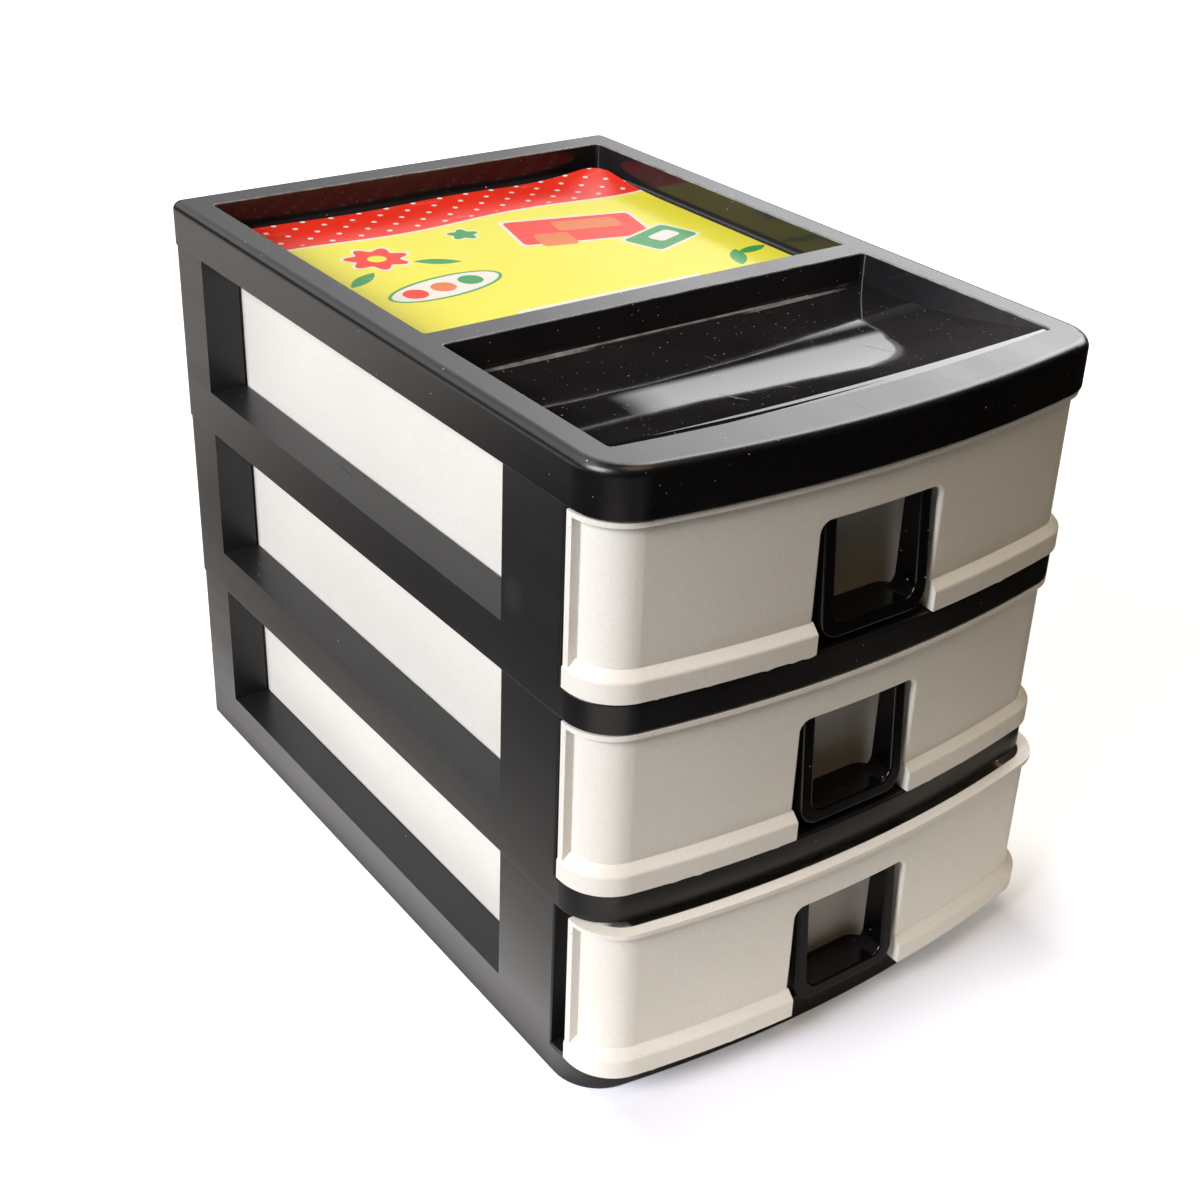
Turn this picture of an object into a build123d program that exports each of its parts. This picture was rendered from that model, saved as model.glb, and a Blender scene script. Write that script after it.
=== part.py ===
from build123d import *
import math
import os

# A desk-top set of three shallow drawers in a stack of three open frames under a tray-top cap.
# Millimetres. The origin is at the middle of the set's footprint, on the surface that it stands on.
# +X is to the right of someone facing the drawers, +Y is towards the back, +Z is up.
# The shapes are drawn with Y measured from the front faces of the frame's posts,
# and Z measured from the bottom of their own storey. place() moves them to the part's frame.

# Overall sizes
width = 180.0
frame_depth = 237.0
storey_height = 63.0
storeys = 3
cap_height = 15.0

# Bowed front: how far the middle of each face stands in front of the posts
bow_radius = 430.0
rail_reach = 25.0
cap_reach = 25.8
panel_reach = 23.5
lip_reach = 25.0
band_reach = 26.2
front_corner = 16.0
rear_corner = 4.0

# Frame of one storey
frame_wall = 2.2
side_rail_height = 15.6
side_rail_width = 13.2
front_rail_height = 9.8
front_rail_back = 14.0
rear_rail_depth = 15.0
front_post_width = 28.5
rear_post_width = 22.5
rear_post_return = 22.0
runner_width = 6.8
post_draft = 0.4
post_edge_round = 0.6
rail_edge_round = 0.8
foot_height = 1.0
foot_edge_round = 0.4
rail_rib_count = 4
rail_rib_thickness = 1.8

# Pegs on the posts, which hold the storey above
peg_width = 4.8
peg_length = 12.0
peg_height = 5.0
peg_clearance = 0.6
peg_edge = 1.0

# Cap with its two trays
cap_wall = 2.2
cap_top_round = 3.0
tray_rim = 10.4
tray_depth = 10.0
tray_corner = 1.5
tray_edge_round = 0.4
tray_foot_round = 0.8
rear_rim = 12.5
rear_tray_length = 139.5
divider_width = 9.4
front_tray_depth = 11.0
front_tray_floor_length = 8.3
front_tray_lip_step = 0.6
front_tray_front_reach = 9.7
front_tray_bow_radius = 600.0
scoop_radius = 258.0
scoop_cross_radius = 3850.0
lip_groove_width = 2.8
lip_groove_depth = 0.9
lip_groove_end = 12.0

# Printed card that lies in the rear tray
card_side_gap = 3.1
card_back_gap = 5.0
card_foot_gap = 0.2
card_thickness = 0.4
card_corner = 9.0
card_lift = 3.2
card_lift_length = 30.0
card_fold_angle = 45.0

# Drawer
drawer_wall = 2.0
drawer_side_clearance = 1.0
drawer_running_gap = 0.3
drawer_back_gap = 2.8
drawer_side_height = 48.0
drawer_edge_round = 2.0
drawer_front_corner = 2.5
panel_wall = 2.2
panel_bottom_gap = 0.5
panel_top_gap = 0.5
panel_corner = 13.2
flange_post_gap = 1.5
flange_thickness = 2.3
flange_proud = 2.8
lip_thickness = 1.5
band_proud = 0.4
band_face_height = 6.3
band_slope_height = 2.7
band_edge_round = 1.0
bottom_drawer_ajar = 6.0

# Finger recess in the drawer's front and the grip that sits in it
notch_half_width = 22.2
notch_top = 49.5
notch_corner = 3.5
notch_edge_round = 1.0
recess_half_width = 22.8
recess_wall = 1.8
recess_seat_reach = 15.4
pocket_half_width = 16.5
pocket_back_reach = 11.5
pocket_corner = 6.0
grip_clearance = 0.3
grip_plate_thickness = 2.0
grip_rim_half_width = 19.9
grip_rim_width = 4.4
grip_rim_bottom = 12.4
grip_outer_corner = 6.5
grip_inner_corner = 4.0
grip_reach_top = 21.4
grip_reach_bottom = 24.6
grip_edge_round = 0.8
grip_shelf_thickness = 1.6

# Derived places
half_width = width / 2
rear_rail_front = frame_depth - rear_rail_depth
band_half_width = half_width + band_proud
panel_half_width = half_width - flange_proud
drawer_half_width = half_width - side_rail_width - drawer_side_clearance
drawer_bottom = front_rail_height + drawer_running_gap
drawer_back = frame_depth - frame_wall - drawer_back_gap
panel_bottom = front_rail_height + panel_bottom_gap
panel_top = storey_height - panel_top_gap
rear_tray_back = frame_depth - rear_rim
rear_tray_front = rear_tray_back - rear_tray_length
front_tray_back = rear_tray_front - divider_width
tray_half_width = half_width - tray_rim
tray_floor = cap_height - tray_depth
lip_top = cap_height - front_tray_lip_step
card_width = 2 * (tray_half_width - card_side_gap)
card_front = rear_tray_front + tray_foot_round + card_foot_gap
card_length = rear_tray_back - card_back_gap - card_front
grip_top = notch_top - grip_clearance
band_radius = bow_radius - rail_reach + band_reach
band_sag_at_notch = band_radius - math.sqrt(band_radius**2 - notch_half_width**2)
front_most = band_reach - band_sag_at_notch + bottom_drawer_ajar
middle_y = (frame_depth - front_most) / 2
draft_angle = math.degrees(math.atan(post_draft / (storey_height - foot_height)))
far = 400.0


def place(shape, storey=0.0, pulled=0.0):
    """Move a shape from its own storey to the part's frame, pulled out to the front by a distance."""
    return Pos(0, -middle_y - pulled, storey * storey_height) * shape


def slab(x0, x1, y0, y1, z0, z1):
    """A block between two opposite corners."""
    size = Box(x1 - x0, y1 - y0, z1 - z0)
    return Pos((x0 + x1) / 2, (y0 + y1) / 2, (z0 + z1) / 2) * size


def bowed_plan(half, reach, back, corner, back_corner, inset=0.0):
    """The plan of the set: straight sides and back, and a front that bows out between round corners."""
    half = half - inset
    reach = reach - inset
    back = back - inset
    radius = bow_radius - rail_reach + reach
    corner_y = radius - reach - math.sqrt(radius**2 - half**2)
    edges = Polyline((half, corner_y), (half, back), (-half, back), (-half, corner_y))
    edges += ThreePointArc((-half, corner_y), (0, -reach), (half, corner_y))
    plan = make_face(edges)
    front = plan.vertices().sort_by(Axis.Y)[:2]
    plan = fillet(front, corner - inset)
    rear = plan.vertices().sort_by(Axis.Y)[-2:]
    return fillet(rear, back_corner - inset)


def raised(plan, z0, z1):
    """A plan raised from one height to another."""
    return Pos(0, 0, z0) * extrude(plan, z1 - z0)


def frame_plan(inset=0.0):
    return bowed_plan(half_width, rail_reach, frame_depth, front_corner, rear_corner, inset)


def cap_plan(inset=0.0):
    return bowed_plan(half_width, cap_reach, frame_depth, front_corner, rear_corner, inset)


def panel_plan(inset=0.0):
    return bowed_plan(panel_half_width, panel_reach, frame_depth, panel_corner, rear_corner, inset)


def frame_blank():
    """The frame's outside: a low bowed rail in front, and drafted walls to the storey's full height."""
    foot = raised(frame_plan(), 0, foot_height)
    foot = fillet(foot.edges().group_by(Axis.Z)[0], foot_edge_round)
    wall_height = storey_height - foot_height
    walls = Pos(0, 0, foot_height) * extrude(frame_plan(), wall_height, taper=draft_angle)
    walls -= slab(-far, far, -far, 0, 0, far)
    rail = raised(frame_plan(), foot_height, front_rail_height)
    top_edges = rail.edges().group_by(Axis.Z)[-1].filter_by(lambda edge: edge.center().Y < -rail_edge_round)
    rail = fillet(top_edges, rail_edge_round)
    rail -= slab(-far, far, 0, far, 0, far)
    cut = post_corner_cut()
    return foot + (walls - cut - mirror(cut, Plane.YZ)) + rail


def post_corner_cut():
    """What the round front corner takes off the right front post above the front rail."""
    low = front_rail_height - foot_height
    grow = post_edge_round
    corner = slab(-grow, grow, -grow, grow, low, far) - Pos(-grow, grow, 0) * Cylinder(grow, far * 2)
    return Pos(half_width, 0, foot_height) * Rot(0, -draft_angle, 0) * corner


def rail_hollow():
    """The hollow under the rails, open at the bottom."""
    inner = half_width - side_rail_width
    low = front_rail_height - frame_wall
    hollow = raised(frame_plan(frame_wall), 0, low)
    wall_y0 = front_rail_back - frame_wall
    wall_y1 = rear_rail_front + frame_wall
    wall = slab(-inner - frame_wall, inner + frame_wall, wall_y0, wall_y1, 0, low)
    wall -= slab(-inner, inner, front_rail_back, rear_rail_front, 0, low)
    hollow -= wall
    for side in (-1, 1):
        x0, x1 = sorted((side * (inner + frame_wall), side * (half_width - frame_wall)))
        top = side_rail_height - frame_wall
        hollow += slab(x0, x1, frame_wall, frame_depth - frame_wall, low, top)
    return hollow


def rail_ribs():
    """Cross ribs in the hollow side rails."""
    inner = half_width - side_rail_width + frame_wall / 2
    outer = half_width - frame_wall / 2
    top = side_rail_height - frame_wall / 2
    run = frame_depth - front_post_width - rear_post_width
    ribs = Part()
    for side in (-1, 1):
        x0, x1 = sorted((side * inner, side * outer))
        for step in range(rail_rib_count):
            y = front_post_width + run * (step + 0.5) / rail_rib_count
            ribs += slab(x0, x1, y, y + rail_rib_thickness, 0, top)
    return ribs


def post_hollows():
    """The hollows of the four posts, open towards the drawer."""
    inner = half_width - side_rail_width
    outer = half_width - post_draft - frame_wall
    z0 = side_rail_height
    z1 = storey_height - frame_wall
    hollows = Part()
    for side in (-1, 1):
        x0, x1 = sorted((side * inner, side * outer))
        hollows += slab(x0, x1, frame_wall, front_post_width - frame_wall, z0, z1)
        y0 = frame_depth - rear_post_width + frame_wall
        hollows += slab(x0, x1, y0, frame_depth - post_draft - frame_wall, z0, z1)
    return hollows


def post_pegs():
    """A peg on each post, which enters the hollow rail of the storey above."""
    outer = half_width - frame_wall - peg_clearance
    inner = outer - peg_width
    front_y = front_post_width / 2 - peg_length / 2
    rear_y = frame_depth - rear_post_width / 2 - peg_length / 2
    pegs = Part()
    for side in (-1, 1):
        x0, x1 = sorted((side * inner, side * outer))
        for y in (front_y, rear_y):
            z0 = storey_height - frame_wall / 2
            peg = slab(x0, x1, y, y + peg_length, z0, storey_height + peg_height)
            peg = chamfer(peg.edges().group_by(Axis.Z)[-1], peg_edge)
            pegs += peg
    return pegs


def frame_storey():
    """One storey of the housing: a ring of rails, runners and four posts."""
    inner = half_width - side_rail_width
    rear_y = frame_depth - rear_post_width
    rear_open = half_width - rear_post_return
    frame = frame_blank()
    frame -= slab(-far, far, front_post_width, rear_y, side_rail_height, far)
    frame -= slab(-inner, inner, -rail_reach, frame_depth - frame_wall, front_rail_height, far)
    frame -= slab(-rear_open, rear_open, rear_y, far, side_rail_height, far)
    opening = inner - runner_width
    frame -= slab(-opening, opening, front_rail_back, rear_rail_front, -far, far)
    frame -= rail_hollow()
    frame -= post_hollows()
    frame += rail_ribs()
    return frame + post_pegs()


def scoop_ground(drop=0.0):
    """The ground under the front tray: a flat with a round foot, then a hollow curve up to the lip."""
    low = cap_height - front_tray_depth - drop
    flat_end = front_tray_back - front_tray_floor_length
    reach = scoop_radius * math.sqrt(0.5)
    start = (flat_end, low)
    half_way = (flat_end - reach, low + scoop_radius - reach)
    end = (flat_end - scoop_radius, low + scoop_radius)
    foot = (front_tray_back - tray_foot_round, low)
    wall = (front_tray_back, low + tray_foot_round)
    edges = Line(start, foot) + RadiusArc(foot, wall, -tray_foot_round)
    edges += Polyline(wall, (far, wall[1]), (far, -far), (end[0], -far), end)
    edges += ThreePointArc(end, half_way, start)
    profile = Plane.YZ * make_face(edges)
    axis = Axis((0, 0, low + scoop_cross_radius), (0, 1, 0))
    spread = math.degrees(math.asin(width / scoop_cross_radius))
    ground = revolve(profile.rotate(axis, -spread / 2), axis, spread)
    return ground & slab(-far, far, -far, far, -far, lip_top - drop)


def front_tray_plan(grow=0.0):
    """The plan of the front tray, whose front edge follows the cap."""
    half = tray_half_width + grow
    reach = front_tray_front_reach + grow
    back = front_tray_back + grow
    radius = front_tray_bow_radius + grow
    corner_y = radius - reach - math.sqrt(radius**2 - half**2)
    edges = Polyline((half, corner_y), (half, back), (-half, back), (-half, corner_y))
    edges += ThreePointArc((-half, corner_y), (0, -reach), (half, corner_y))
    plan = make_face(edges)
    return fillet(plan.vertices(), tray_corner + grow)


def rear_tray_plan(grow=0.0):
    length = rear_tray_length + 2 * grow
    middle = (rear_tray_front + rear_tray_back) / 2
    return Pos(0, middle) * RectangleRounded(2 * (tray_half_width + grow), length, tray_corner + grow)


def lip_groove():
    """The groove behind the cap's front rim, which runs out towards the right."""
    strip = raised(front_tray_plan(), 0, far)
    strip -= Pos(0, lip_groove_width, 0) * strip
    tilt = math.degrees(math.atan2(lip_groove_depth, tray_half_width + lip_groove_end))
    above = slab(-far, 0, -far, front_tray_back - tray_corner, 0, far)
    return strip & (Pos(lip_groove_end, 0, lip_top) * Rot(0, -tilt, 0) * above)


def top_cap():
    """The cap: a skirt over the top storey, with two sunken trays."""
    cap = raised(cap_plan(), 0, cap_height)
    cap = fillet(cap.edges().group_by(Axis.Z)[-1], cap_top_round)
    cap = fillet(cap.edges().group_by(Axis.Z)[0], foot_edge_round)
    rear_tray = raised(rear_tray_plan(), tray_floor, far)
    cap -= fillet(rear_tray.edges().group_by(Axis.Z)[0], tray_foot_round)
    cap -= raised(front_tray_plan(), 0, far) - scoop_ground()
    cap = round_tray_edges(cap)
    cap -= lip_groove()
    underside = raised(cap_plan(cap_wall), 0, cap_height - cap_wall)
    underside -= raised(rear_tray_plan(cap_wall), tray_floor - cap_wall, far)
    underside -= raised(front_tray_plan(cap_wall), 0, far) - scoop_ground(cap_wall)
    return cap - underside


def round_tray_edges(cap):
    """Round the upper edges of both trays a little."""
    edges = cap.edges().group_by(Axis.Z)[-1]
    edges = edges.filter_by(lambda edge: abs(edge.center().X) < tray_half_width + tray_edge_round)
    front = -front_tray_front_reach - tray_edge_round
    edges = edges.filter_by(lambda edge: front < edge.center().Y < rear_tray_back + tray_edge_round)
    return fillet(edges, tray_edge_round)


def insert_card():
    """A thin card on the rear tray's floor, with its right back corner curling up."""
    card = Pos(0, card_front + card_length / 2) * RectangleRounded(card_width, card_length, card_corner)
    sheet = raised(card, tray_floor, tray_floor + card_thickness)
    reach = card_lift_length
    fold = math.radians(card_fold_angle)
    radius = (reach**2 + card_lift**2) / (2 * card_lift)
    middle = (card_width / 2 - reach * math.cos(fold), card_front + card_length - reach * math.sin(fold))
    flat = sheet & fold_side(middle, -1)
    sector = fold_side(middle, 1) & raised(card, 0, far)
    outer = Cylinder(radius, far)
    inner = Cylinder(radius - card_thickness, far)
    turn = Rot(0, 0, card_fold_angle) * Rot(90, 0, 0)
    tube = Pos(middle[0], middle[1], tray_floor + radius) * turn * (outer - inner)
    curl = tube & sector & slab(-far, far, -far, far, 0, tray_floor + radius)
    return flat + curl


def fold_side(middle, sign):
    """A block that reaches from the card's fold line to its lifted corner, or the other way."""
    block = slab(0, far, -far, far, -far, far)
    if sign < 0:
        block = slab(-far, 0, -far, far, -far, far)
    return Pos(middle[0], middle[1], 0) * Rot(0, 0, card_fold_angle) * block


def drawer_box():
    """The drawer's tub behind its front panel."""
    reach = panel_reach - panel_wall / 2
    outline = bowed_plan(drawer_half_width, reach, drawer_back, drawer_front_corner, rear_corner)
    tub = raised(outline, drawer_bottom, drawer_bottom + drawer_side_height)
    tub = fillet(tub.edges().group_by(Axis.Z)[0], drawer_edge_round)
    inside = bowed_plan(drawer_half_width, reach, drawer_back, drawer_front_corner, rear_corner, drawer_wall)
    return tub - raised(inside, drawer_bottom + drawer_wall, far)


def standing(face, y0, y1):
    """A face drawn as seen from the front, given depth between two distances from front to back."""
    return Pos(0, y1, 0) * extrude(Plane.XZ * face, y1 - y0)


def upright(half, z0, z1):
    """An upright rectangle, seen from the front, with its bottom left corner as first point."""
    return make_face(Polyline((-half, z0), (half, z0), (half, z1), (-half, z1), (-half, z0)))


def notch_cutter():
    """The finger opening in the drawer's front: round at the top corners and open at the bottom."""
    face = upright(notch_half_width, 0, notch_top)
    face = fillet(face.vertices().sort_by(Axis.Y)[-2:], notch_corner)
    return standing(face, -far, -recess_seat_reach)


def panel_with_notch():
    """The panel's solid outside with the notch cut in it, and the notch's front edge rounded."""
    panel = raised(panel_plan(), panel_bottom, panel_top) - notch_cutter()
    on_front = -panel_reach + notch_edge_round
    edges = panel.edges().filter_by(lambda edge: edge.center().Y < on_front)
    inner = edges.filter_by(lambda edge: abs(edge.center().X) < notch_half_width + notch_edge_round)
    rim = inner.filter_by(lambda edge: panel_bottom < edge.center().Z < panel_top)
    return fillet(rim, notch_edge_round)


def front_band():
    """The band that stands out along the bottom of the panel, with a sloped top."""
    plan = bowed_plan(band_half_width, band_reach, frame_depth, front_corner, rear_corner)
    face_top = panel_bottom + band_face_height
    band = raised(plan, panel_bottom, face_top + band_slope_height)
    band = chamfer(band.edges().group_by(Axis.Z)[-1], band_slope_height)
    ridge = band.edges().filter_by(lambda edge: abs(edge.center().Z - face_top) < band_edge_round / 2)
    return fillet(ridge, band_edge_round)


def front_panel():
    """The bowed front with its wrapped ends, side flanges, top lip and the band along the bottom."""
    front_only = slab(-far, far, -far, -flange_post_gap, -far, far)
    hollow = raised(panel_plan(panel_wall), -far, far)
    lip_plan = bowed_plan(half_width, lip_reach, frame_depth, front_corner, rear_corner)
    lip = raised(lip_plan, panel_top - lip_thickness, panel_top)
    front = (panel_with_notch() + lip + front_band()) & front_only
    front -= hollow
    flange_front = -flange_post_gap - flange_thickness
    for side in (-1, 1):
        x0, x1 = sorted((side * (panel_half_width - panel_wall), side * half_width))
        front += slab(x0, x1, flange_front, -flange_post_gap, panel_bottom, panel_top)
    return front


def recess_plan(grow=0.0):
    """The plan of the recess behind the notch, which holds the grip's plate."""
    half = recess_half_width + grow
    return make_face(Polyline(
        (-half, -panel_reach + panel_wall), (half, -panel_reach + panel_wall),
        (half, -recess_seat_reach + grow), (-half, -recess_seat_reach + grow),
        (-half, -panel_reach + panel_wall),
    ))


def pocket_plan(grow=0.0):
    """The plan of the finger pocket behind the recess, with its round back corners."""
    half = pocket_half_width + grow
    front = -panel_reach + panel_wall
    back = -pocket_back_reach + grow
    plan = make_face(Polyline((-half, front), (half, front), (half, back), (-half, back), (-half, front)))
    return fillet(plan.vertices().sort_by(Axis.Y)[-2:], pocket_corner + grow)


def drawer():
    """One drawer: tub, bowed front, and the walls of its finger recess."""
    body = drawer_box() + front_panel()
    recess_top = notch_top + recess_wall
    body += raised(recess_plan(recess_wall), drawer_bottom, recess_top)
    body += raised(pocket_plan(recess_wall), drawer_bottom, recess_top)
    body -= raised(recess_plan(), 0, notch_top)
    body -= raised(pocket_plan(), 0, notch_top)
    return body - notch_cutter()


def grip_outline(half, bottom, corner, top):
    """A rectangle with round bottom corners, seen from the front."""
    face = upright(half, bottom, top)
    return fillet(face.vertices().sort_by(Axis.Y)[:2], corner)


def grip_rim():
    """The grip's U-shaped rim. Its face leans out towards the bottom, and its front edges are round."""
    opening_half = grip_rim_half_width - grip_rim_width
    opening_bottom = grip_rim_bottom + grip_rim_width
    outer = grip_outline(grip_rim_half_width, grip_rim_bottom, grip_outer_corner, grip_top)
    opening = grip_outline(opening_half, opening_bottom, grip_inner_corner, far)
    rim = standing(outer - opening, -far, -recess_seat_reach)
    lean = math.degrees(math.atan2(grip_reach_bottom - grip_reach_top, notch_top - grip_rim_bottom))
    front_cut = slab(-far, far, -far, 0, -far, far)
    rim -= Pos(0, -grip_reach_bottom, grip_rim_bottom) * Rot(-lean, 0, 0) * front_cut
    face = rim.faces().sort_by(Axis.Y)[0]
    edges = face.edges().filter_by(lambda edge: edge.center().Z < grip_top - grip_edge_round)
    return fillet(edges, grip_edge_round)


def handle_insert():
    """The grip: a rim on a plate that sits in the recess, and a shelf that is the pocket's floor."""
    opening_half = grip_rim_half_width - grip_rim_width
    opening_bottom = grip_rim_bottom + grip_rim_width
    plate = upright(recess_half_width - grip_clearance, panel_bottom + grip_clearance, grip_top)
    plate -= grip_outline(opening_half, opening_bottom, grip_inner_corner, far)
    grip = grip_rim() + standing(plate, -recess_seat_reach - grip_plate_thickness, -recess_seat_reach)
    shelf = raised(pocket_plan(-grip_clearance), opening_bottom - grip_shelf_thickness, opening_bottom)
    shelf -= slab(-far, far, -far, -recess_seat_reach - grip_plate_thickness / 2, -far, far)
    return grip + shelf


def write(name, shape):
    """Write one sub-part to its own file."""
    os.makedirs("parts", exist_ok=True)
    export_step(shape, f"parts/{name}.step")


def main():
    storey_names = ["bottom", "middle", "top"]
    frame = frame_storey()
    tub = drawer()
    grip = handle_insert()
    for storey, name in enumerate(storey_names):
        pulled = bottom_drawer_ajar if storey == 0 else 0.0
        write(f"frame_{name}", place(frame, storey))
        write(f"drawer_{name}", place(tub, storey, pulled))
        write(f"handle_insert_{name}", place(grip, storey, pulled))
    write("top_cap", place(top_cap(), storeys))
    write("insert_card", place(insert_card(), storeys))


main()
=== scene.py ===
import math
import random

import bpy
from mathutils import Matrix, Vector, noise


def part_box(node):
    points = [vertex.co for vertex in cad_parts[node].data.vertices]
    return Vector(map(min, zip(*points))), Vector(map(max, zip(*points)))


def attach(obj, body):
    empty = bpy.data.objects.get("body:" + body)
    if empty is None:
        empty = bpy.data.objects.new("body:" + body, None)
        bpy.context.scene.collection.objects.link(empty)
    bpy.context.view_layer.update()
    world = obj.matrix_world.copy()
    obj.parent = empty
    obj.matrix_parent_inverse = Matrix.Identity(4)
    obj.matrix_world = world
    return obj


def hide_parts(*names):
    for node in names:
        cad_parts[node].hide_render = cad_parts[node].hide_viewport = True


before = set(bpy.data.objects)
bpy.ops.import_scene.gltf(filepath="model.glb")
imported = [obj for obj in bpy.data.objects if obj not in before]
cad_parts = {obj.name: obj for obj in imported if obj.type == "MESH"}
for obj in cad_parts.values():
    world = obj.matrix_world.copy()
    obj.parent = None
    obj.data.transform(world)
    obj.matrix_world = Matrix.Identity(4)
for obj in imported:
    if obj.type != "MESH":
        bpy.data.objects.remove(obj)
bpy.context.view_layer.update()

bpy.context.scene.view_settings.view_transform = "Standard"

# All lengths are in metres, in the frame of the CAD model.
# The plans of the drawer set are drawn with y measured from the front faces of its posts.
mm = 0.001
levels = ["bottom", "middle", "top"]
frame_depth = 237 * mm
cap_low, cap_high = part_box("top_cap")
cap_seam = cap_low.z
post_front_y = cap_high.y - frame_depth
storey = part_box("frame_middle")[0].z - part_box("frame_bottom")[0].z
shut_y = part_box("drawer_top")[0].y
ajar = {level: shut_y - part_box(f"drawer_{level}")[0].y for level in levels}

# Cap with its two trays, with heights above its seam
cap_height = 15 * mm
tray_half_width = 79.6 * mm
tray_front = -9.7 * mm
tray_back = 224.5 * mm
front_tray_back = 75.6 * mm
front_tray_floor = 4 * mm
tray_foot_round = 0.8 * mm

# Drawer fronts, which are bowed about an upright line behind the posts' fronts
bow_centre = 405 * mm
band_face_reach = 26.05 * mm
band_foot = 10.3 * mm
band_inner_end = 22.6 * mm
band_outer_end = 73 * mm
# Where shade is painted on the back wall behind each finger recess
recess_half_width = 20.5 * mm
recess_front = -21 * mm
recess_back = -8 * mm
flange_edge = (-89.9 * mm, -3 * mm, 58.4 * mm)

# Loose card
card_thickness = 0.4 * mm
card_corner = 9 * mm
card_low, card_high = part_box("insert_card")
card_middle = ((card_low.x + card_high.x) / 2, (card_low.y + card_high.y) / 2)

# Camera that fits the photo, with its azimuth, elevation and roll in degrees
camera_place = (-0.31787, -0.427516, 0.38591)
camera_angles = (-36.50, 29.43, 2.14)
camera_sensor = 36.0
camera_lens = 53.27


# Nodes

class Nodes:
    """A node tree, with short calls for the nodes that are used here."""

    def __init__(self, tree):
        self.tree = tree

    def node(self, kind, settings=None, **inputs):
        made = self.tree.nodes.new(kind)
        for key, value in (settings or {}).items():
            setattr(made, key, value)
        for key, value in inputs.items():
            self.put(made.inputs[key.replace("_", " ")], value)
        return made

    def put(self, socket, value):
        if isinstance(value, bpy.types.NodeSocket):
            self.tree.links.new(value, socket)
        else:
            socket.default_value = value

    def math(self, operation, a, b=0.0):
        made = self.tree.nodes.new("ShaderNodeMath")
        made.operation = operation
        self.put(made.inputs[0], a)
        self.put(made.inputs[1], b)
        return made.outputs[0]

    def product(self, first, *others):
        for other in others:
            first = self.math("MULTIPLY", first, other)
        return first

    def fade(self, value, low, high, to_low=0.0, to_high=1.0, smooth=False):
        """One number at or below the low value, another at or above the high one, and a ramp between."""
        kind = "SMOOTHSTEP" if smooth else "LINEAR"
        made = self.node("ShaderNodeMapRange", {"interpolation_type": kind, "clamp": True})
        for index, number in enumerate((value, low, high, to_low, to_high)):
            self.put(made.inputs[index], number)
        return made.outputs[0]

    def mix(self, factor, a, b):
        made = self.tree.nodes.new("ShaderNodeMix")
        made.data_type = "RGBA"
        self.put(made.inputs[0], factor)
        self.put(made.inputs[6], colour(a))
        self.put(made.inputs[7], colour(b))
        return made.outputs[2]

    def place(self):
        return self.node("ShaderNodeTexCoord").outputs["Object"]

    def axes(self, vector):
        return self.node("ShaderNodeSeparateXYZ", Vector=vector).outputs

    def stretched(self, vector, scale):
        made = self.node("ShaderNodeMapping", Vector=vector)
        made.inputs["Scale"].default_value = scale
        return made.outputs[0]

    def noise(self, vector, scale, detail=2.0, rough=0.5):
        made = self.node("ShaderNodeTexNoise", Vector=vector, Scale=scale, Detail=detail, Roughness=rough)
        return made.outputs[0]

    def specks(self, vector, scale, radius, share):
        """Round specks in some of the cells of a lattice, as 0 or 1."""
        cells = self.node("ShaderNodeTexVoronoi", Vector=vector, Scale=scale)
        pick = self.axes(cells.outputs["Color"])
        size = self.fade(pick[1], 0.0, 1.0, radius * 0.35, radius)
        near = self.fade(self.math("DIVIDE", cells.outputs["Distance"], size), 0.8, 1.1, 1.0, 0.0)
        chosen = self.math("LESS_THAN", pick[0], share)
        return self.math("MULTIPLY", near, chosen)

    def bump(self, height, depth, strength, under=None):
        made = self.node("ShaderNodeBump", Height=height, Distance=depth, Strength=strength)
        if under is not None:
            self.put(made.inputs["Normal"], under)
        return made.outputs[0]

    def curve(self, value, stops):
        """The number that belongs to a value, by straight lines between stops of value and number."""
        start, end = stops[0][0], stops[-1][0]
        most = max(number for _, number in stops)
        made = self.tree.nodes.new("ShaderNodeValToRGB")
        elements = made.color_ramp.elements
        while len(elements) < len(stops):
            elements.new(0.5)
        for element, (at, number) in zip(elements, stops):
            share = number / most
            element.position = (at - start) / (end - start)
            element.color = (share, share, share, 1.0)
        self.put(made.inputs[0], self.fade(value, start, end))
        return self.math("MULTIPLY", made.outputs[0], most)


class Paint(Nodes):
    """A new material, with the shader that its nodes lead to."""

    def __init__(self, name):
        self.material = bpy.data.materials.new(name)
        self.material.use_nodes = True
        super().__init__(self.material.node_tree)
        self.shader = self.tree.nodes["Principled BSDF"]


def colour(value):
    if isinstance(value, tuple) and len(value) == 3:
        return (*value, 1.0)
    return value


# Materials

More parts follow.
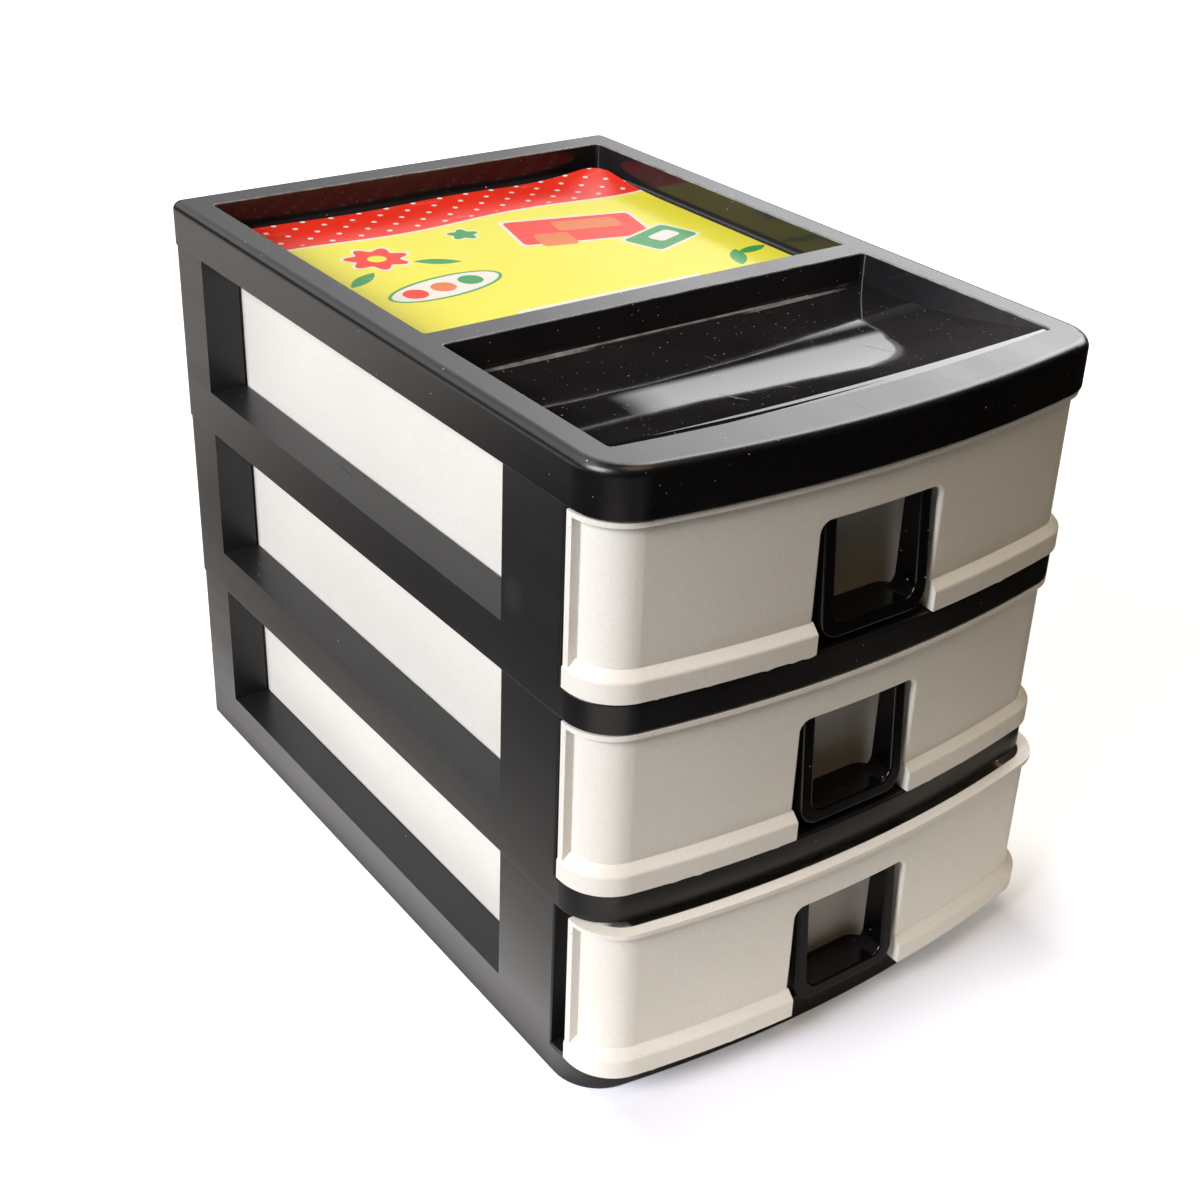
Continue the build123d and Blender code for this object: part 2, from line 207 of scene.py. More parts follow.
def black_plastic(name, base, satin, dust, has_trays=False):
    """Moulded black plastic: a fine grain, faint flow marks, fine scratches and a few light specks."""
    p = Paint(name)
    at = p.place()
    cloud = p.noise(at, 28.0, 3.0, 0.6)
    grain = p.noise(at, 1300.0, 3.0, 0.6)
    flow = p.noise(p.stretched(at, (40.0, 9.0, 70.0)), 1.0, 3.0, 0.55)
    scratch = p.fade(p.noise(p.stretched(at, (900.0, 30.0, 30.0)), 1.0, 1.0), 0.72, 0.80)
    marks = p.math("MAXIMUM", p.specks(at, 520.0, 0.13, dust), p.specks(at, 160.0, 0.06, dust))
    cloudy, grainy = (tuple(share * c for c in base) for share in (1.5, 2.2))
    speck_grey = (0.60, 0.59, 0.58)
    tone = p.mix(p.fade(cloud, 0.35, 0.7), base, cloudy)
    tone = p.mix(p.product(p.fade(grain, 0.45, 0.75), 0.5), tone, grainy)
    tone = p.mix(p.product(marks, 0.8), tone, speck_grey)
    rough = p.fade(flow, 0.3, 0.7, satin - 0.03, satin + 0.05)
    relief = 0.6
    if has_trays:
        inside = tray_mask(p, at)
        tone = tray_tone(p, at, inside, cloud, tone)
        rough = p.fade(inside, 0.0, 1.0, rough, tray_roughness(p, at, cloud))
        relief = p.fade(inside, 0.0, 1.0, relief, 0.0)
    rough = p.math("ADD", rough, p.product(p.math("MAXIMUM", marks, scratch), 0.2))
    p.put(p.shader.inputs["Base Color"], tone)
    p.put(p.shader.inputs["Roughness"], rough)
    p.shader.inputs["IOR"].default_value = 1.5
    height = p.math("ADD", grain, p.product(marks, 1.5))
    p.put(p.shader.inputs["Normal"], p.bump(height, 0.03 * mm, relief))
    return p.material


def tray_roughness(p, at, cloud):
    """The roughness of the trays' polished skin, which is cloudy, and duller behind the divider."""
    _, y, _ = p.axes(at)
    polish = 0.02
    behind_divider = p.fade(y, -28 * mm, -22 * mm)
    return p.math("ADD", p.product(behind_divider, 0.13), p.fade(cloud, 0.3, 0.7, polish, 1.6 * polish))


def tray_tone(p, at, inside, cloud, tone):
    """The trays' colour: a film of dust towards the front right, lint, and pale inner edges that are partly
    rubbed wear and partly a painted highlight.
    """
    x, y, z = p.axes(at)
    film_grey = (0.05, 0.047, 0.052)
    lint_grey = (0.50, 0.49, 0.48)
    wear_and_highlight_grey = (0.36, 0.36, 0.37)
    film = p.product(p.fade(x, -40 * mm, 70 * mm, 0.3, 1.0), p.fade(y, -30 * mm, -90 * mm))
    film = p.product(p.math("MAXIMUM", film, 0.25), p.fade(cloud, 0.25, 0.75, 0.6, 1.3))
    tone = p.mix(p.product(inside, film), tone, film_grey)
    lint = p.math("MAXIMUM", p.specks(at, 420.0, 0.13, 0.35), p.specks(at, 180.0, 0.09, 0.25))
    tone = p.mix(p.product(inside, lint, 0.7), tone, lint_grey)
    # Pale inner edges, partly rubbed wear and partly a painted highlight, and a painted highlight in the
    # front tray's foot
    wear_and_highlight = p.math("MAXIMUM", tray_edge(p, x, y, z), p.product(tray_foot(p, y, z), inside))
    patchy = p.fade(p.noise(at, 140.0, 3.0, 0.6), 0.35, 0.6, 0.4, 1.0)
    return p.mix(p.product(wear_and_highlight, patchy, 0.85), tone, wear_and_highlight_grey)


def plan_mask(p, x, y, half_width, front, back):
    """1 within a rectangle of the plan, 0 outside."""
    across = p.math("LESS_THAN", p.math("ABSOLUTE", x), half_width)
    after = p.math("GREATER_THAN", y, post_front_y + front)
    before = p.math("LESS_THAN", y, post_front_y + back)
    return p.product(across, after, before)


def tray_mask(p, at):
    """1 on the polished inside of the cap's two trays, 0 on its satin rims and outside."""
    x, y, z = p.axes(at)
    grow = 0.2 * mm
    plan = plan_mask(p, x, y, tray_half_width + grow, tray_front - grow, tray_back + grow)
    top = cap_seam + cap_height
    return p.product(plan, p.fade(z, top - 0.25 * mm, top - 0.45 * mm))


def tray_edge(p, x, y, z):
    """1 on the rounded inner edges of both trays, which are painted pale, partly as rubbed wear and partly as
    a painted highlight.
    """
    grow = 0.6 * mm
    plan = plan_mask(p, x, y, tray_half_width + grow, tray_front - grow, tray_back + grow)
    top = cap_seam + cap_height
    band = p.product(p.fade(z, top - 0.5 * mm, top - 0.4 * mm), p.fade(z, top - 0.01 * mm, top - 0.05 * mm))
    return p.product(plan, band)


def tray_foot(p, y, z):
    """1 in the rounded corner where the front tray's back wall meets its floor, where a highlight is painted.
    """
    floor = cap_seam + front_tray_floor
    low = p.product(p.fade(z, floor + 0.1 * mm, floor + 0.2 * mm),
                    p.fade(z, floor + 0.7 * mm, floor + 0.5 * mm))
    middle = post_front_y + front_tray_back - tray_foot_round
    from_middle = p.math("ABSOLUTE", p.math("SUBTRACT", y, middle))
    return p.product(low, p.math("LESS_THAN", from_middle, 2 * tray_foot_round))


def cream_plastic():
    """Off-white moulded plastic with a satin skin, faint cloudiness, sink marks and tiny pits, and painted
    shade in each finger recess.
    """
    p = Paint("cream_plastic")
    at = p.place()
    pale, paler = (0.785, 0.765, 0.73), (0.81, 0.795, 0.765)
    skin_shade = (0.69, 0.65, 0.58)
    painted_recess_shade = (0.17, 0.145, 0.13)
    pit_brown = (0.42, 0.36, 0.28)
    cloud = p.noise(at, 22.0, 3.0, 0.6)
    fine = p.noise(at, 900.0, 3.0, 0.6)
    flow = p.noise(p.stretched(at, (120.0, 18.0, 18.0)), 1.0)
    sink = p.noise(p.stretched(at, (70.0, 70.0, 170.0)), 1.0)
    pits = p.specks(at, 120.0, 0.05, 0.10)
    x, y, _ = p.axes(at)
    recess = plan_mask(p, x, y, recess_half_width, recess_front, recess_back)
    tone = p.mix(p.fade(cloud, 0.3, 0.7), pale, paler)
    tone = p.mix(p.product(p.fade(fine, 0.4, 0.75), 0.4), tone, skin_shade)
    # Painted shade: the back wall behind each finger recess is painted a dark brown
    tone = p.mix(p.product(recess, 0.62), tone, painted_recess_shade)
    tone = p.mix(p.product(pits, 0.35), tone, pit_brown)
    p.put(p.shader.inputs["Base Color"], tone)
    p.put(p.shader.inputs["Roughness"], p.fade(flow, 0.3, 0.7, 0.36, 0.46))
    p.shader.inputs["IOR"].default_value = 1.49
    p.shader.inputs["Subsurface Weight"].default_value = 0.12
    p.shader.inputs["Subsurface Radius"].default_value = (2.2 * mm, 1.6 * mm, 1.1 * mm)
    p.shader.inputs["Subsurface Scale"].default_value = 1.0
    height = p.math("ADD", fine, p.product(flow, 0.6))
    p.put(p.shader.inputs["Normal"], p.bump(height, 0.04 * mm, 0.45, p.bump(sink, 0.3 * mm, 0.35)))
    return p.material


class Print:
    """Flat printed shapes, drawn in millimetres from the middle of the card."""

    def __init__(self, paint, middle):
        self.p = paint
        x, y, _ = paint.axes(paint.place())
        self.x = paint.math("DIVIDE", paint.math("SUBTRACT", x, middle[0]), mm)
        self.y = paint.math("DIVIDE", paint.math("SUBTRACT", y, middle[1]), mm)

    def ink(self, distance):
        """1 inside a shape, 0 outside, from the distance to its outline."""
        soft = 0.14
        return self.p.fade(distance, -soft, soft, 1.0, 0.0)

    def turned(self, cx, cy, angle):
        """Where a point lies from a shape's middle, along the shape and across it."""
        c, s = math.cos(math.radians(angle)), math.sin(math.radians(angle))
        m = self.p.math
        dx, dy = m("SUBTRACT", self.x, cx), m("SUBTRACT", self.y, cy)
        u = m("ADD", m("MULTIPLY", dx, c), m("MULTIPLY", dy, s))
        v = m("SUBTRACT", m("MULTIPLY", dy, c), m("MULTIPLY", dx, s))
        return u, v

    def length(self, u, v):
        m = self.p.math
        return m("SQRT", m("ADD", m("MULTIPLY", u, u), m("MULTIPLY", v, v)))

    def oval(self, cx, cy, a, b, angle):
        m = self.p.math
        u, v = self.turned(cx, cy, angle)
        share = self.length(m("DIVIDE", u, a), m("DIVIDE", v, b))
        return m("MULTIPLY", m("SUBTRACT", share, 1.0), min(a, b))

    def block(self, cx, cy, a, b, angle, corner):
        m = self.p.math
        u, v = self.turned(cx, cy, angle)
        du = m("MAXIMUM", m("SUBTRACT", m("ABSOLUTE", u), a - corner), 0.0)
        dv = m("MAXIMUM", m("SUBTRACT", m("ABSOLUTE", v), b - corner), 0.0)
        return m("SUBTRACT", self.length(du, dv), corner)

    def flower(self, cx, cy, radius, petals, depth):
        m = self.p.math
        u, v = self.turned(cx, cy, 0)
        angle = m("ARCTAN2", v, u)
        wave = m("MULTIPLY", m("COSINE", m("MULTIPLY", angle, float(petals))), depth)
        return m("SUBTRACT", m("SUBTRACT", self.length(u, v), radius), wave)

    def leaf(self, cx, cy, half, fat, angle):
        m = self.p.math
        u, v = self.turned(cx, cy, angle)
        radius = (half**2 + fat**2) / (2 * fat)
        one = m("SUBTRACT", self.length(u, m("ADD", v, radius - fat)), radius)
        two = m("SUBTRACT", self.length(u, m("SUBTRACT", v, radius - fat)), radius)
        return m("MAXIMUM", one, two)


def printed_card(middle):
    """A glossy printed card: a red band with white dots, a striped yellow field and a few plain shapes."""
    p = Paint("printed_card")
    art = Print(p, middle)
    m = p.math
    yellow = (0.92, 0.89, 0.06)
    washed_yellow = (0.93, 0.91, 0.08)
    pale_yellow = (0.94, 0.92, 0.18)
    red = (0.92, 0.04, 0.02)
    green = (0.05, 0.36, 0.10)
    white = (0.90, 0.90, 0.87)
    orange = (0.84, 0.22, 0.06)
    stripe_step = 7.0
    dot_step = 11.0
    along = m("ADD", art.x, art.y)
    aslant = m("SUBTRACT", art.x, art.y)
    wash = p.noise(p.place(), 26.0)
    stripes = m("ABSOLUTE", m("SUBTRACT", m("FRACT", m("DIVIDE", along, stripe_step)), 0.5))
    tone = p.mix(p.fade(wash, 0.3, 0.7), yellow, washed_yellow)
    tone = p.mix(p.product(p.fade(stripes, 0.10, 0.14, 1.0, 0.0), 0.35), tone, pale_yellow)

    def lay(distance, ink):
        nonlocal tone
        tone = p.mix(art.ink(distance), tone, ink)

    band_edge = m("ADD", m("MULTIPLY", m("SINE", m("DIVIDE", art.x, 15.0)), 1.8), 41.0)
    band = m("SUBTRACT", band_edge, art.y)
    lay(m("SUBTRACT", band, 1.3), white)
    lay(band, red)
    u, v = (m("SUBTRACT", m("FRACT", m("DIVIDE", way, dot_step)), 0.5) for way in (along, aslant))
    dots = m("SUBTRACT", m("MULTIPLY", art.length(u, v), dot_step / math.sqrt(2)), 0.95)
    lay(m("MAXIMUM", dots, m("ADD", band, 2.0)), white)

    # Blocks and ovals have a middle, half sizes and a turn in degrees
    blocks = (
        (30, 14, 25, 14, -14, white), (30, 14, 23.6, 12.6, -14, red),
        (36, 17, 12, 5.2, -14, orange), (17, 8, 6.5, 6.5, -14, orange),
        (50, -8, 13, 9, 20, white), (50, -8, 11.8, 7.8, 20, green),
        (52, -7, 6.0, 3.4, 20, white), (2, -52, 36, 7.5, 0, white),
    )
    ovals = (
        (-40, -14, 22, 9.0, 8, green), (-40, -14, 20.8, 7.8, 8, white),
        (-52, -15.5, 4.2, 4.2, 0, red), (-41, -14, 4.2, 4.2, 0, orange), (-30, -12.4, 4.2, 4.2, 0, green),
        (-22, -52, 5.2, 5.2, 0, yellow), (2, -52, 5.2, 5.2, 0, orange), (26, -52, 5.2, 5.2, 0, red),
    )
    # Flowers have a middle, a radius, a number of petals and how far these reach
    flowers = (
        (-46, 20, 10.5, 7, 1.8, white), (-46, 20, 9.3, 7, 1.7, red),
        (-8, 28, 5.4, 5, 1.1, white), (-8, 28, 4.6, 5, 1.0, green),
    )
    # Leaves have a middle, half a length, half a width and a turn in degrees
    leaves = (
        (-60, 4, 8, 2.6, 35), (-30, 8, 8, 2.6, -30), (60, -38, 8, 2.8, 60), (69, -34, 7, 2.4, 10),
    )
    for *shape, ink in blocks:
        lay(art.block(*shape, corner=2.2), ink)
    for *shape, ink in ovals:
        lay(art.oval(*shape), ink)
    for *shape, ink in flowers:
        lay(art.flower(*shape), ink)
    for shape in leaves:
        lay(art.leaf(*shape), green)
    lay(art.oval(-46, 20, 3.2, 3.2, 0), yellow)

    scuff = p.fade(p.noise(p.stretched(p.place(), (60.0, 300.0, 60.0)), 1.0, 3.0, 0.6), 0.62, 0.75)
    tone = p.mix(p.product(scuff, 0.10), tone, white)
    ripple = p.noise(p.place(), 60.0)
    p.put(p.shader.inputs["Base Color"], tone)
    p.put(p.shader.inputs["Roughness"], p.fade(scuff, 0.0, 1.0, 0.20, 0.32))
    p.shader.inputs["Specular IOR Level"].default_value = 0.08
    p.put(p.shader.inputs["Normal"], p.bump(ripple, 0.1 * mm, 0.25))
    return p.material


def paper_edge():
    """The white core of the card, seen on its cut edge and its underside."""
    p = Paint("paper_edge")
    fibre = p.noise(p.place(), 1500.0, 3.0, 0.6)
    tone = p.mix(p.fade(fibre, 0.3, 0.7), (0.80, 0.79, 0.76), (0.87, 0.86, 0.84))
    p.put(p.shader.inputs["Base Color"], tone)
    p.put(p.shader.inputs["Roughness"], p.fade(fibre, 0.3, 0.7, 0.55, 0.7))
    p.put(p.shader.inputs["Normal"], p.bump(fibre, 0.02 * mm, 0.4))
    return p.material


# Pieces

def mesh_piece(name, vertices, faces, materials, body):
    """A smooth piece from its points and faces, which moves with a body."""
    mesh = bpy.data.meshes.new(name)
    mesh.from_pydata(vertices, [], faces)
    mesh.validate()
    for material in materials:
        mesh.materials.append(material)
    mesh.shade_smooth()
    piece = bpy.data.objects.new(name, mesh)
    bpy.context.scene.collection.objects.link(piece)
    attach(piece, body)
    return piece


def card_lift(x, y):
    """How far the card stands off the tray's floor. Its back right corner curls up, and two edges wave."""
    curl_radius = 142 * mm
    past_fold = max(0.0, (x - card_high.x + y - card_high.y) / math.sqrt(2) + 30 * mm)
    near_back = max(0.0, 1 - (card_high.y - y) / (22 * mm)) ** 2
    near_left = max(0.0, 1 - (x - card_low.x) / (16 * mm)) ** 2
    curl = past_fold**2 / (2 * curl_radius)
    back_wave = 0.35 * mm * near_back * (1 + math.sin(x / (13 * mm) + 0.6))
    left_wave = 0.25 * mm * near_left * (1 + math.sin(y / (17 * mm)))
    return curl + back_wave + left_wave


def card_rows():
    """How far behind the card's front edge its mesh has rows, which are closer at the round corners."""
    corner_rows = 10
    middle_rows = 40
    length = card_high.y - card_low.y
    corner = [card_corner * (1 - math.cos(math.pi / 2 * k / corner_rows)) for k in range(corner_rows + 1)]
    middle = [card_corner + (length - 2 * card_corner) * k / middle_rows for k in range(1, middle_rows)]
    return corner + middle + [length - row for row in reversed(corner)]


def card_half_width(row):
    half = (card_high.x - card_low.x) / 2
    to_end = min(row, card_high.y - card_low.y - row)
    if to_end >= card_corner:
        return half
    return half - card_corner + math.sqrt(max(0.0, card_corner**2 - (card_corner - to_end) ** 2))


def card_sheet(print_material, edge_material):
    """The loose printed card, as a thin sheet that curls at one corner."""
    across = 56
    wide = across + 1
    rows = card_rows()
    vertices = []
    for layer in (0.0, card_thickness):
        for row in rows:
            half = card_half_width(row)
            y = card_low.y + row
            for k in range(wide):
                x = card_middle[0] + half * math.sin(math.pi / 2 * (2 * k / across - 1))
                vertices.append((x, y, card_low.z + layer + card_lift(x, y)))
    above = len(rows) * wide
    lower, upper, rim = [], [], []
    for r in range(len(rows) - 1):
        for k in range(across):
            a = r * wide + k
            quad = (a, a + 1, a + 1 + wide, a + wide)
            lower.append(tuple(reversed(quad)))
            upper.append(tuple(v + above for v in quad))
    front = list(range(wide))
    right = [r * wide + across for r in range(1, len(rows))]
    back = [(len(rows) - 1) * wide + k for k in range(across - 1, -1, -1)]
    left = [r * wide for r in range(len(rows) - 2, 0, -1)]
    loop = front + right + back + left
    for a, b in zip(loop, loop[1:] + loop[:1]):
        rim.append((a, b, b + above, a + above))
    sheet = mesh_piece("card_sheet", vertices, upper + lower + rim, [print_material, edge_material],
                       "cabinet")
    for polygon in sheet.data.polygons:
        if polygon.index >= len(upper):
            polygon.material_index = 1
            polygon.use_smooth = polygon.index < len(upper) + len(lower)
    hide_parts("insert_card")


def bow(x, reach):
    """The y of a bowed face at x, for a face whose middle stands that far in front of the posts."""
    return post_front_y + bow_centre - math.sqrt((bow_centre + reach) ** 2 - x**2)


def flash_line(level, material):
    """The thin, ragged skin of plastic left along the mould's parting line under a drawer's band."""
    index = levels.index(level)
    rng = random.Random(31 + index)
    foot = storey * index + band_foot
    steps = 150
    vertices, faces = [], []
    for side in (-1, 1):
        first = len(vertices)
        for k in range(steps + 1):
            x = side * (band_inner_end + (band_outer_end - band_inner_end) * k / steps)
            y = bow(x, band_face_reach) - ajar[level]
            ragged = max(0.0, noise.noise(Vector((x * 260, index * 7.3, side * 3.1))))
            swollen = max(0.0, noise.noise(Vector((x * 420, 5.0, side))))
            drop = (0.08 + 0.75 * ragged**1.5 + 0.10 * rng.random()) * mm
            bulge = (0.03 + 0.09 * swollen) * mm
            section = (
                (-bulge, 0.25 * mm), (-bulge - 0.04 * mm, 0.0), (0.05 * mm, -drop), (0.35 * mm, 0.05 * mm),
            )
            vertices.extend((x, y + dy, foot + dz) for dy, dz in section)
        for k in range(steps):
            for j in range(4):
                a = first + 4 * k + j
                b = first + 4 * k + (j + 1) % 4
                quad = (a, b, b + 4, a + 4)
                faces.append(quad if side > 0 else tuple(reversed(quad)))
        last = first + 4 * steps
        onward, backward = range(4), range(3, -1, -1)
        faces.append(tuple(first + j for j in (backward if side > 0 else onward)))
        faces.append(tuple(last + j for j in (onward if side > 0 else backward)))
    mesh_piece(f"band_flash_{level}", vertices, faces, [material], f"{level}_drawer")


def flange_burr(level, material):
    """A small burr on a drawer's left flange: a rounded, slightly crooked nub that tapers to the back."""
    index = levels.index(level)
    rng = random.Random(3 + index)
    side_x, front_y, top_z = flange_edge
    middle = Vector((side_x, post_front_y + front_y - ajar[level], storey * index + top_z))
    length, width = 1.1 * mm, 0.9 * mm
    axis = Vector((0, 1, 0))
    side = axis.cross(Vector((0, 0, 1)))
    other = axis.cross(side)
    rings, around = 6, 10
    vertices, faces = [], []
    for r in range(rings):
        t = r / (rings - 1)
        radius = width / 2 * math.sqrt(max(0.02, 1 - t**1.6))
        centre = middle + axis * (length * (t - 0.3)) + other * (0.12 * length * t * t)
        for k in range(around):
            angle = 2 * math.pi * k / around
            wobble = radius * (1 + 0.2 * (rng.random() - 0.5))
            outward = side * math.cos(angle) + other * math.sin(angle)
            vertices.append(tuple(centre + outward * wobble))
    for r in range(rings - 1):
        for k in range(around):
            a = r * around + k
            b = r * around + (k + 1) % around
            faces.append((a, b, b + around, a + around))
    faces.append(tuple(range(around - 1, -1, -1)))
    faces.append(tuple((rings - 1) * around + k for k in range(around)))
    mesh_piece(f"flange_burr_{level}", vertices, faces, [material], f"{level}_drawer")


# Studio

def sheet_edge(p, distance, full, end):
    """The soft edge of a pale sheet: 1 up to a distance, falling to 0 at another."""
    return p.fade(distance, full, end, 1.0, 0.0, smooth=True)


def floor_paint():
    """White to the camera, with the set's shadow from the lamps and a painted shadow along its front. The set
    itself sees a dark table with pale sheets on it.
    """
    p = Paint("studio_floor")
    rays = p.node("ShaderNodeLightPath").outputs
    seen, mirrored, bounced = rays["Is Camera Ray"], rays["Is Glossy Ray"], rays["Is Diffuse Ray"]
    x, y, _ = p.axes(p.place())
    set_half_width = 90 * mm
    set_front = -130 * mm
    aside = p.math("SUBTRACT", p.math("ABSOLUTE", x), set_half_width)
    before = p.math("SUBTRACT", set_front, y)
    in_front = p.product(p.fade(aside, 50 * mm, 0.0), p.fade(before, -10 * mm, 0.0))

    # Pale sheets: close round the set, far behind it, and a round one at its front left corner
    around = p.product(sheet_edge(p, aside, 10 * mm, 110 * mm), sheet_edge(p, before, 60 * mm, 120 * mm))
    behind = p.fade(y, 220 * mm, 480 * mm, smooth=True)
    corner_x, corner_y = p.math("ADD", x, 240 * mm), p.math("ADD", y, 270 * mm)
    squares = p.math("ADD", p.product(corner_x, corner_x), p.product(corner_y, corner_y))
    from_corner = p.math("SQRT", squares)
    corner = sheet_edge(p, from_corner, 110 * mm, 170 * mm)
    pale = p.math("MAXIMUM", p.math("MAXIMUM", around, behind), corner)
    pale = p.product(pale, p.math("SUBTRACT", 1.0, p.product(mirrored, in_front, 0.75)))
    dark_table, white_sheet, cool_white = (0.02, 0.019, 0.017), (0.94, 0.93, 0.92), (0.79, 0.82, 0.95)
    tone = p.mix(seen, p.mix(pale, dark_table, white_sheet), cool_white)

    # What the camera sees brightens to full white far off, and a shadow is painted on it along the set's
    # front
    far = p.math("MAXIMUM", p.math("ABSOLUTE", x), p.math("ABSOLUTE", y))
    painted_contact_shadow = p.product(p.fade(aside, 40 * mm, -10 * mm), p.fade(before, -50 * mm, 0.0),
                        sheet_edge(p, before, 0.0, 85 * mm))
    white = p.math("SUBTRACT", p.fade(far, 0.4, 1.2, 0.74, 1.0), p.product(painted_contact_shadow, 0.66))
    # A bright sheet in front lights the drawer fronts, most at their right, and one at the left is mirrored
    to_right = p.fade(x, -90 * mm, 110 * mm, 0.47, 0.78)
    front_sheet = p.product(in_front, p.fade(before, 10 * mm, 30 * mm),
                            sheet_edge(p, before, 100 * mm, 160 * mm), to_right)
    left_sheet = p.product(p.fade(x, -90 * mm, -100 * mm), p.fade(y, 60 * mm, 150 * mm, 1.0, 0.4),
                           sheet_edge(p, aside, 6 * mm, 34 * mm), 1.6)
    glow = p.math("ADD", p.product(seen, white), p.product(bounced, front_sheet))
    glow = p.math("ADD", glow, p.product(mirrored, left_sheet))
    p.put(p.shader.inputs["Base Color"], tone)
    p.shader.inputs["Roughness"].default_value = 0.9
    p.shader.inputs["Specular IOR Level"].default_value = 0.0
    p.shader.inputs["Emission Color"].default_value = (1.0, 1.0, 1.0, 1.0)
    p.put(p.shader.inputs["Emission Strength"], glow)
    return p.material


def studio_floor():
    """A plain pale floor, a little below the set so that their faces don't meet."""
    half = 9.0
    corners = [(-half, -half, 0), (half, -half, 0), (half, half, 0), (-half, half, 0)]
    mesh = bpy.data.meshes.new("studio_floor")
    mesh.from_pydata(corners, [], [(0, 1, 2, 3)])
    mesh.materials.append(floor_paint())
    floor = bpy.data.objects.new("studio_floor", mesh)
    floor.location.z = -0.2 * mm
    bpy.context.scene.collection.objects.link(floor)


# What glossy surfaces see behind the set: brightness at degrees turned right from straight behind it,
# above and below the window's sill, and how both fade with degrees above the floor
window_high = (
    (-90, 0.0), (-65, 1.9), (-28, 1.9), (-8, 1.1), (5, 0.9), (15, 0.9), (22, 1.1), (33, 1.75), (38, 2.8),
    (45, 3.9), (52, 5.1), (66, 7.2), (80, 5.0), (90, 0.0),
)
window_low = ((-90, 0.0), (34.5, 0.0), (35.5, 1.9), (43, 1.9), (44, 0.0), (90, 0.0))
window_rise = ((0, 0.0), (13.5, 0.0), (16, 0.95), (40, 0.95), (50, 1.5), (60, 1.5), (68, 0.0), (90, 0.0))
window_sill = ((0, 0.0), (1.6, 0.0), (2.2, 1.0), (11, 1.0), (12, 0.0), (90, 0.0))


def studio_world():
    """White to the camera and a faint warm fill. Glossy surfaces see a window behind the set."""
    world = bpy.data.worlds.new("studio")
    bpy.context.scene.world = world
    world.use_nodes = True
    world.cycles.sampling_method = "NONE"
    w = Nodes(world.node_tree)
    rays = w.node("ShaderNodeLightPath").outputs
    x, y, z = w.axes(w.node("ShaderNodeTexCoord").outputs["Generated"])
    turned = w.math("DEGREES", w.math("ARCTAN2", x, y))
    raised = w.math("DEGREES", w.math("ARCSINE", z))
    upper = w.product(w.curve(turned, window_high), w.curve(raised, window_rise))
    lower = w.product(w.curve(turned, window_low), w.curve(raised, window_sill))
    shine = w.product(w.math("ADD", upper, lower), rays["Is Glossy Ray"])
    fill = w.product(rays["Is Diffuse Ray"], 0.04)
    mirror = w.node("ShaderNodeBackground", Color=(0.99, 0.99, 1.0, 1.0), Strength=shine)
    warm_fill = w.node("ShaderNodeBackground", Color=(1.0, 0.82, 0.50, 1.0), Strength=fill)
    white = w.node("ShaderNodeBackground", Color=(1.0, 1.0, 1.0, 1.0))
    both = w.node("ShaderNodeAddShader")
    w.put(both.inputs[0], mirror.outputs[0])
    w.put(both.inputs[1], warm_fill.outputs[0])
    either = w.node("ShaderNodeMixShader")
    w.put(either.inputs[0], rays["Is Camera Ray"])
    w.put(either.inputs[1], both.outputs[0])
    w.put(either.inputs[2], white.outputs[0])
    w.put(w.tree.nodes["World Output"].inputs["Surface"], either.outputs[0])


def soft_lamp(name, azimuth, elevation, distance, side, power, tint):
    """A large soft lamp aimed at the set. Azimuth 0 is behind the set, and 90 is at its right."""
    data = bpy.data.lights.new(name, "AREA")
    data.shape = "SQUARE"
    data.size = side
    data.energy = power
    data.color = tint
    lamp = bpy.data.objects.new(name, data)
    bpy.context.scene.collection.objects.link(lamp)
    a, e = math.radians(azimuth), math.radians(elevation)
    way = Vector((math.sin(a) * math.cos(e), math.cos(a) * math.cos(e), math.sin(e)))
    lamp.location = Vector((0, 0, 100 * mm)) + way * distance
    lamp.rotation_euler = way.to_track_quat("Z", "Y").to_euler()
    return lamp


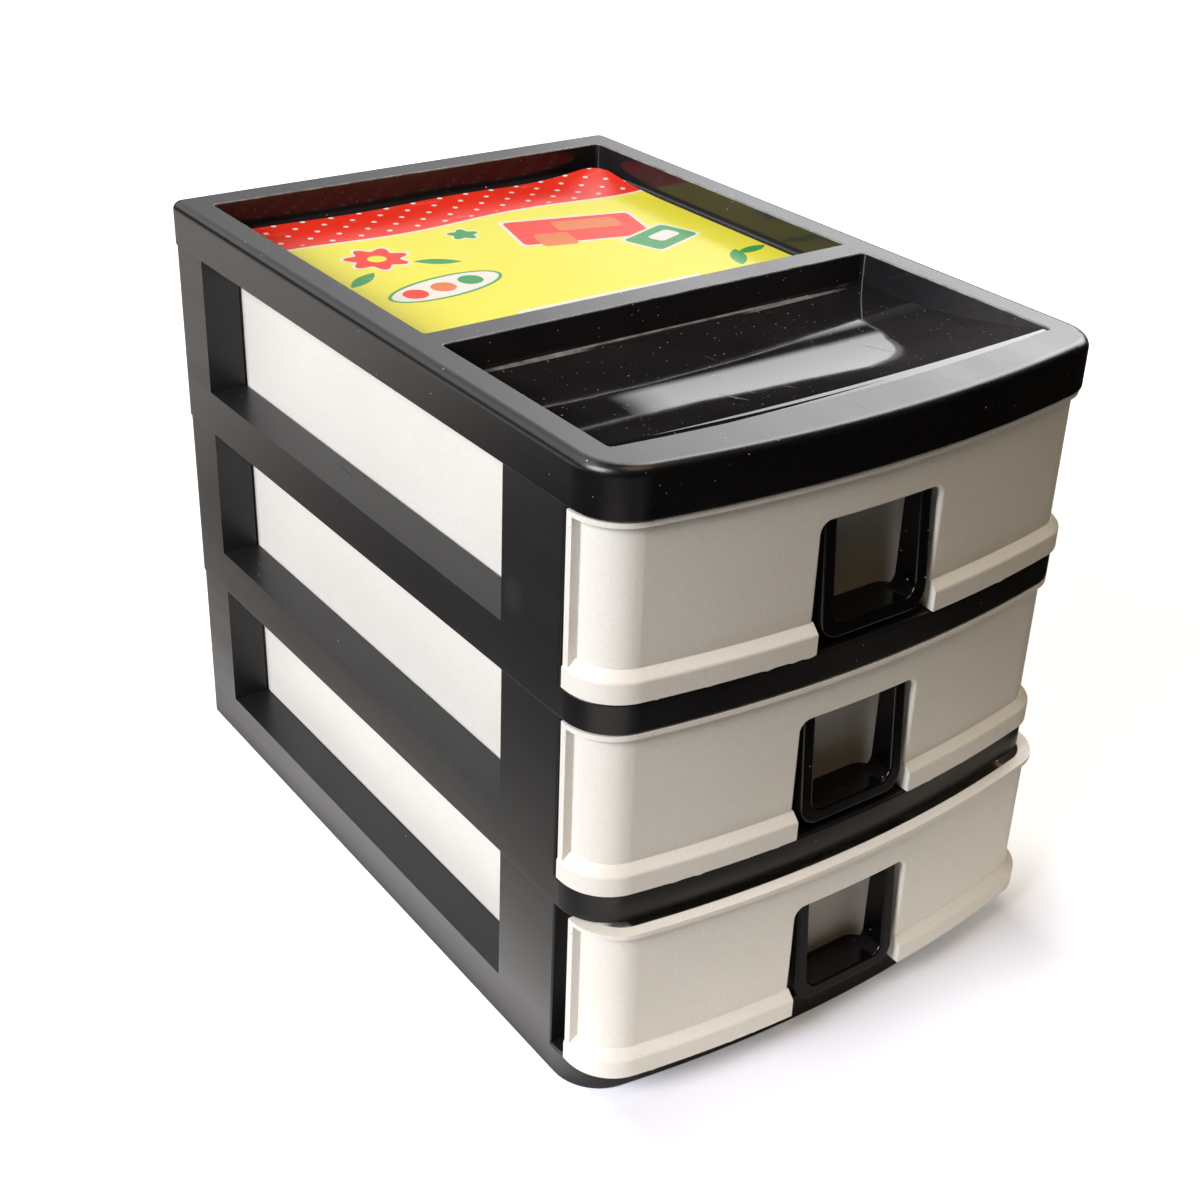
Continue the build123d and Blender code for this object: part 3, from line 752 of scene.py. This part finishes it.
def studio_camera():
    """The camera at the photograph's place and angle."""
    data = bpy.data.cameras.new("camera")
    data.sensor_fit = "HORIZONTAL"
    data.sensor_width = camera_sensor
    data.lens = camera_lens
    data.clip_start = 0.01
    data.clip_end = 60.0
    camera = bpy.data.objects.new("camera", data)
    bpy.context.scene.collection.objects.link(camera)
    azimuth, elevation, roll = (math.radians(a) for a in camera_angles)
    away = Vector((math.sin(azimuth), -math.cos(azimuth), 0))
    back = away * math.cos(elevation) + Vector((0, 0, math.sin(elevation)))
    level_right = Vector((math.cos(azimuth), math.sin(azimuth), 0))
    level_up = back.cross(level_right)
    right = level_right * math.cos(roll) + level_up * math.sin(roll)
    up = level_up * math.cos(roll) - level_right * math.sin(roll)
    turn = Matrix((right, up, back)).transposed().to_4x4()
    camera.matrix_world = Matrix.Translation(camera_place) @ turn
    bpy.context.scene.camera = camera


# The scene

def finish_node(node, material):
    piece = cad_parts[node]
    if not piece.data.materials:
        piece.data.materials.append(material)
    for index in range(len(piece.material_slots)):
        piece.material_slots[index].material = material


studio_camera()
studio_floor()
studio_world()
cool_light = (0.99, 0.985, 1.0)
warm_light = (1.0, 0.93, 0.78)
amber_light = (1.0, 0.72, 0.40)
soft_lamp("key_left", azimuth=-94.5, elevation=31, distance=2.8, side=1.4, power=103.0, tint=cool_light)
soft_lamp("above", azimuth=180, elevation=68, distance=2.4, side=1.3, power=13.5, tint=amber_light)
for name, azimuth, power in (("right_fill", 105, 12.0), ("back_fill", 20, 16.0)):
    lamp = soft_lamp(name, azimuth, elevation=20, distance=2.4, side=0.9, power=power, tint=warm_light)
    lamp.visible_glossy = False

frame_black = black_plastic("frame_black", (0.0055, 0.0053, 0.0063), satin=0.34, dust=0.05)
cap_black = black_plastic("cap_black", (0.003, 0.0028, 0.0034), satin=0.27, dust=0.13, has_trays=True)
grip_black = black_plastic("grip_black", (0.002, 0.0019, 0.0023), satin=0.16, dust=0.05)
cream = cream_plastic()
card_print = printed_card(card_middle)
for level in levels:
    finish_node(f"frame_{level}", frame_black)
    finish_node(f"drawer_{level}", cream)
    finish_node(f"handle_insert_{level}", grip_black)
finish_node("top_cap", cap_black)
finish_node("insert_card", card_print)
card_sheet(card_print, paper_edge())
for level in levels:
    flash_line(level, cream)
    flange_burr(level, cream)
